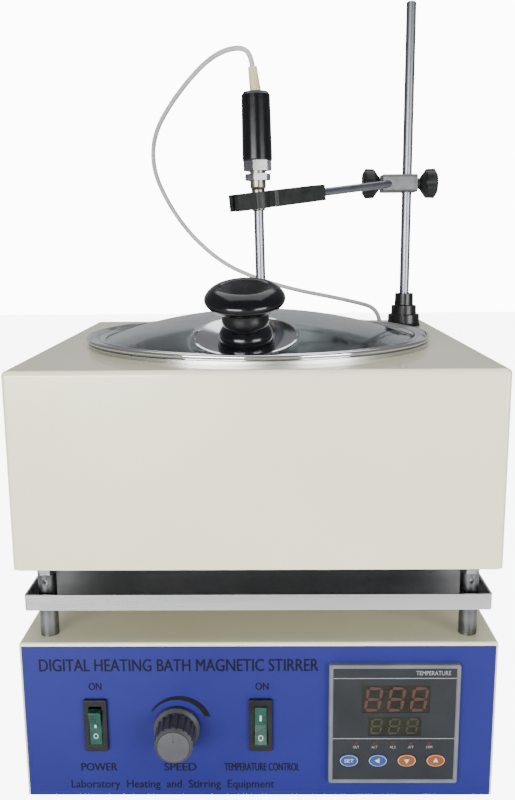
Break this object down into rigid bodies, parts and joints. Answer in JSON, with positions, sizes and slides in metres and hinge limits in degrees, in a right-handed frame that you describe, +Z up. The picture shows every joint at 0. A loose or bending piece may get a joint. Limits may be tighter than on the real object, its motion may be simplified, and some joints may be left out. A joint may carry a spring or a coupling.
{
  "type": "magnetic stirrer",
  "caption": "Bench magnetic stirrer with a heated round bath under a domed glass lid, a clamped temperature probe on a stand rod and a blue control panel.",
  "frame": {"origin": "centre of the footprint on the table under the feet", "axes": "+Z up, -Y towards the user at the control panel, +X to the user's right"},
  "size_m": [0.2646, 0.291, 0.4835],
  "materials": {
    "cream_enamel": "glossy cream stove enamel",
    "zinc_steel": "zinc plated",
    "black_rubber": "matt moulded rubber",
    "blue_label": "blue printed polycarbonate label",
    "black_plastic": "moulded, fine grain",
    "green_plastic": "translucent green rocker",
    "knob_cap_metal": "spun aluminium disc",
    "brass": "turned brass",
    "pot_metal": "tinned can",
    "meter_frame_plastic": "grey moulded bezel",
    "meter_face_plastic": "dark grey printed face",
    "display_filter": "dark filter over the displays",
    "lamp_plastic": "small diffusing lenses",
    "circuit_board": "green solder mask",
    "blue_button": "silicone key",
    "orange_button": "silicone key",
    "transformer_iron": "varnished laminations",
    "steel": "turned steel",
    "aluminium": "machined",
    "magnet_nickel": "nickel plated magnets",
    "chrome": "bright plated",
    "stainless": "brushed stainless steel",
    "heater_steel": "heat-tinted sheath",
    "insulation_wool": "mineral wool",
    "lid_glass": "clear grey domed glass",
    "knob_black": "glossy black phenolic",
    "cast_grey": "grey cast alloy",
    "black_textured": "black textured enamel",
    "probe_metal": "dark plated fitting",
    "cream_plastic": "cream strain relief",
    "cable_grey": "pale grey PVC"
  },
  "bodies": {
    "housing": {"base_shell": "cream_enamel", "base_plate": "zinc_steel", "rubber_feet": "black_rubber", "case_screws": "zinc_steel", "front_label": "blue_label", "switch_bodies": "black_plastic", "speed_pot": "pot_metal", "meter_bezel": "meter_frame_plastic", "meter_face": "meter_face_plastic", "meter_windows": "display_filter", "status_lamps": "lamp_plastic", "meter_board": "circuit_board", "meter_case": "black_plastic", "power_inlet": "black_plastic", "inlet_pins": "brass", "fuse_holder": "black_plastic", "control_board": "circuit_board", "transformer": "transformer_iron", "motor": "zinc_steel", "motor_bracket": "zinc_steel", "support_posts": "chrome", "post_studs": "zinc_steel", "panel_nuts": "zinc_steel", "drip_tray": "stainless", "bath_shell": "cream_enamel", "bath_plate": "zinc_steel", "bath_pot": "stainless", "ring_heater": "heater_steel", "insulation": "insulation_wool", "stand_rod": "stainless", "rod_boot": "black_rubber", "probe_cable": "cable_grey", "cable_grommets": "black_rubber"},
    "power_switch_rocker": {"power_rocker": "green_plastic"},
    "heat_switch_rocker": {"heat_rocker": "green_plastic"},
    "speed_control": {"speed_knob": "black_plastic", "speed_knob_cap": "knob_cap_metal", "speed_shaft": "brass"},
    "set_key": {"set_button": "blue_button"},
    "shift_key": {"shift_button": "blue_button"},
    "down_key": {"down_button": "orange_button"},
    "up_key": {"up_button": "orange_button"},
    "lid": {"lid_glass": "lid_glass", "lid_rim": "stainless", "knob_disc": "stainless", "lid_knob": "knob_black", "knob_screw": "zinc_steel"},
    "probe_clamp": {"boss_head": "cast_grey", "clamp_arm": "steel", "probe_clip": "black_textured", "probe_fitting": "probe_metal", "probe_nuts": "zinc_steel", "probe_stem": "stainless", "probe_handle": "knob_black", "probe_sleeve": "cream_plastic"},
    "arm_screw_turned": {"arm_screw": "knob_black"},
    "rod_screw_turned": {"rod_screw": "knob_black"},
    "rotor": {"drive_shaft": "steel", "magnet_carrier": "aluminium", "magnets": "magnet_nickel"}
  },
  "joints": [
    {"name": "power_rocker_tilt", "type": "hinge", "parent": "housing", "child": "power_switch_rocker", "pos_m": [-0.0908, -0.12435, 0.0526], "axis": [-1, 0, 0], "range_deg": [0, 18]},
    {"name": "heat_rocker_tilt", "type": "hinge", "parent": "housing", "child": "heat_switch_rocker", "pos_m": [0.0012, -0.12435, 0.0526], "axis": [-1, 0, 0], "range_deg": [-18, 0]},
    {"name": "speed_turn", "type": "hinge", "parent": "housing", "child": "speed_control", "pos_m": [-0.0456, -0.1256, 0.051], "axis": [0, -1, 0], "range_deg": [-240, 60]},
    {"name": "set_key_press", "type": "slide", "parent": "housing", "child": "set_key", "axis": [0, 1, 0], "range_m": [0, 0.0005], "stiffness_N_per_m": 800},
    {"name": "shift_key_press", "type": "slide", "parent": "housing", "child": "shift_key", "axis": [0, 1, 0], "range_m": [0, 0.0005], "stiffness_N_per_m": 800},
    {"name": "down_key_press", "type": "slide", "parent": "housing", "child": "down_key", "axis": [0, 1, 0], "range_m": [0, 0.0005], "stiffness_N_per_m": 800},
    {"name": "up_key_press", "type": "slide", "parent": "housing", "child": "up_key", "axis": [0, 1, 0], "range_m": [0, 0.0005], "stiffness_N_per_m": 800},
    {"name": "lid_lift", "type": "slide", "parent": "housing", "child": "lid", "axis": [0, 0, 1], "range_m": [0, 0.045]},
    {"name": "boss_slide", "type": "slide", "parent": "housing", "child": "probe_clamp", "axis": [0, 0, 1], "range_m": [-0.02, 0.09], "deforming": ["probe_cable"]},
    {"name": "arm_screw_turn", "type": "hinge", "parent": "probe_clamp", "child": "arm_screw_turned", "pos_m": [0.091, 0.0892, 0.3574], "axis": [-1, 0, 0], "range_deg": [-360, 0]},
    {"name": "rod_screw_turn", "type": "hinge", "parent": "probe_clamp", "child": "rod_screw_turned", "pos_m": [0.1165, 0.092, 0.3574], "axis": [1, 0, 0], "range_deg": [-360, 0]},
    {"name": "rotor_spin", "type": "hinge", "parent": "housing", "child": "rotor", "pos_m": [0, 0.001, 0.149], "axis": [0, 0, 1], "continuous": true}
  ]
}
